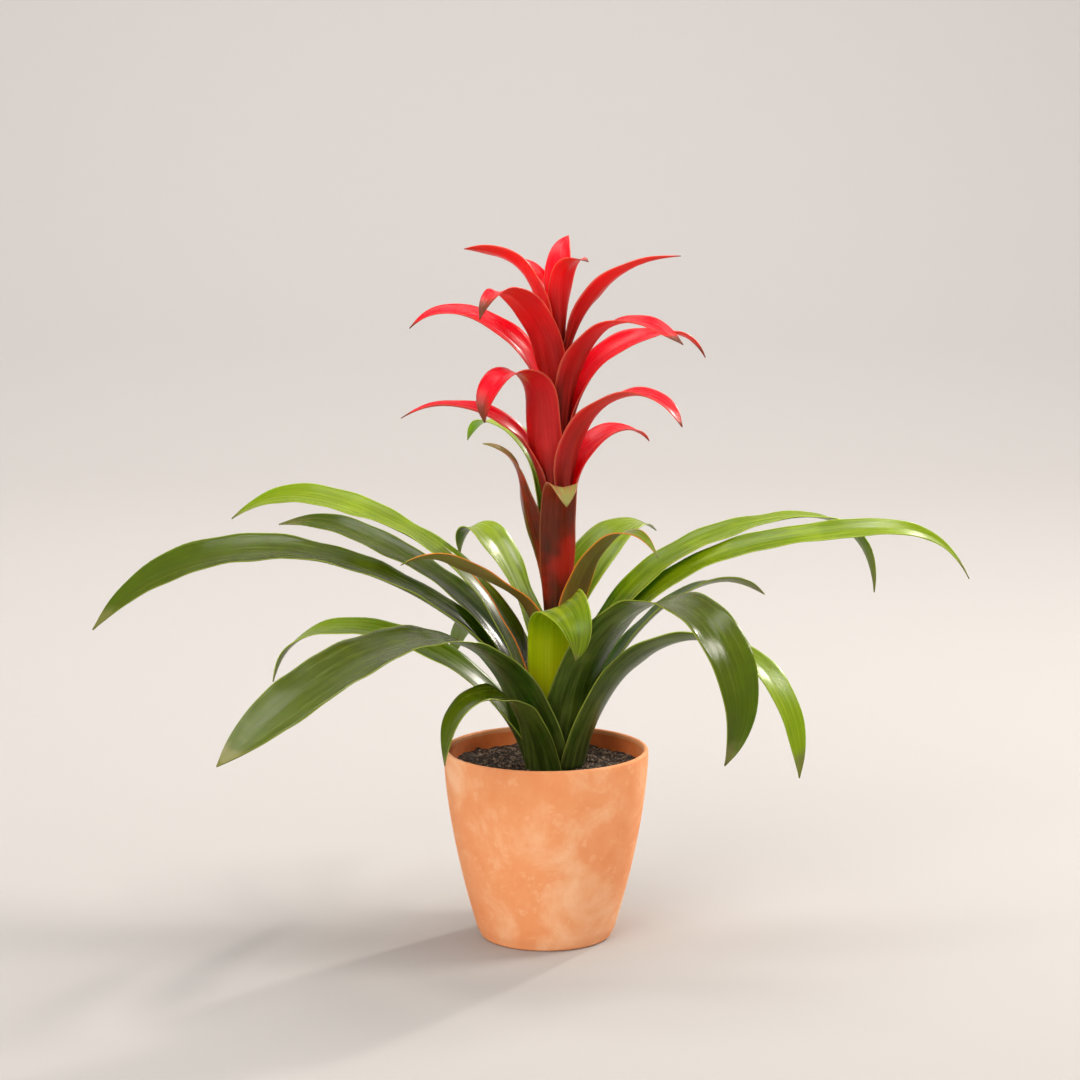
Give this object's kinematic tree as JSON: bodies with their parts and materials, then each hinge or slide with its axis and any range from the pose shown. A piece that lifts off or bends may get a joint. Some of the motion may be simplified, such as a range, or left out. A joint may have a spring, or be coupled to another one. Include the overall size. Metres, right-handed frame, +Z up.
{
  "type": "potted bromeliad",
  "caption": "Potted bromeliad: arching strap leaves in a rosette and a tall spike of pointed red bracts, growing in soil in a plain tapered clay pot.",
  "frame": {"origin": "Centre of the pot's flat bottom face, which rests on the floor.", "axes": "+Z up; -Y faces the viewer of the front view; +X is to the viewer's right and runs along the plant's widest spread."},
  "size_m": [0.6205, 0.495, 0.4779],
  "materials": {
    "clay": "matte unglazed terracotta",
    "soil": "matte potting soil",
    "stem": "matte",
    "leaf": "glossy leaf",
    "bract": "satin bract"
  },
  "bodies": {
    "root": {"pot": "clay", "soil": "soil", "stem": "stem", "leaf_left_long": "leaf", "leaf_left_back_long": "leaf", "leaf_left_high": "leaf", "leaf_left_short": "leaf", "leaf_left_inner": "leaf", "leaf_left_low": "leaf", "leaf_front_left_broad": "leaf", "leaf_front_curled": "leaf", "leaf_right_long": "leaf", "leaf_right_arched": "leaf", "leaf_right_slim": "leaf", "leaf_right_low": "leaf", "leaf_right_inner": "leaf", "leaf_front_right_broad": "leaf", "leaf_front_folded": "leaf", "leaf_back_right": "leaf", "leaf_back_flopped": "leaf", "leaf_back_low": "leaf", "leaf_back_right_low": "leaf", "leaf_back_left_low": "leaf", "stem_bract_front": "bract", "stem_bract_left": "bract", "stem_bract_right": "bract", "bract_collar_green": "bract", "bract_collar_back": "bract", "bract_low_back_right": "bract", "bract_low_right": "bract", "bract_low_left": "bract", "bract_low_front": "bract", "bract_mid_back_right": "bract", "bract_mid_right": "bract", "bract_mid_left": "bract", "bract_mid_front": "bract", "bract_mid_back": "bract", "bract_top_left": "bract", "bract_top_right": "bract", "bract_top_back_left": "bract", "bract_top_front": "bract", "bract_top_back": "bract"}
  },
  "joints": []
}
